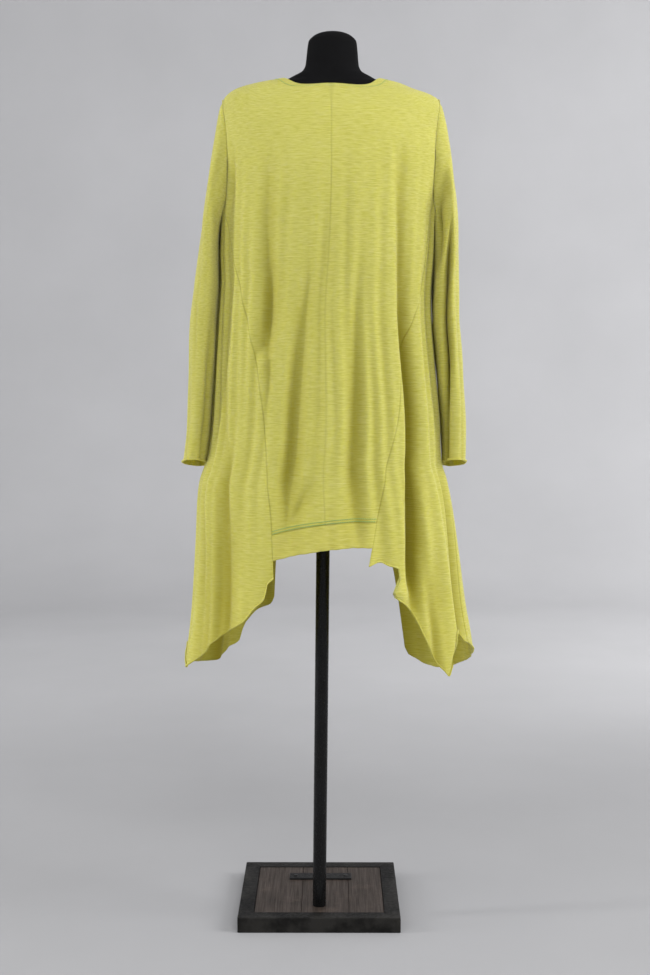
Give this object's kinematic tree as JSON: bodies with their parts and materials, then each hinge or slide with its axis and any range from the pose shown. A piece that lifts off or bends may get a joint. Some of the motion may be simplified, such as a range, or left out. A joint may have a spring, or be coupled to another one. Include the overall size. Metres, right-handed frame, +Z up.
{
  "type": "short jersey dress on a limbless dress form",
  "caption": "Long-sleeved slub jersey dress with a seamed back, banded back hem and long side points, worn by a black limbless dress form on a pole and a square wood and iron base.",
  "frame": {"origin": "centre of the base's underside, on the floor", "axes": "+Z up along the pole, the dress's back faces -Y, +X to the right as seen from behind"},
  "size_m": [0.5335, 0.3805, 1.631],
  "materials": {
    "jersey": "matt lime slub jersey",
    "form_cover": "matt black jersey over foam",
    "pole_steel": "satin black",
    "base_iron": "blackened, lightly worn",
    "base_wood": "dark aged boards",
    "bracket_iron": "matt black",
    "screw_steel": "dark"
  },
  "bodies": {
    "root": {"back_left": "jersey", "back_right": "jersey", "back_band": "jersey", "side_back_left": "jersey", "side_back_right": "jersey", "front": "jersey", "sleeve_left": "jersey", "sleeve_right": "jersey", "form_torso": "form_cover", "pole": "pole_steel", "base_frame": "base_iron", "plank_left": "base_wood", "plank_middle": "base_wood", "plank_right": "base_wood", "bracket": "bracket_iron", "screw_left": "screw_steel", "screw_right": "screw_steel"}
  },
  "joints": []
}
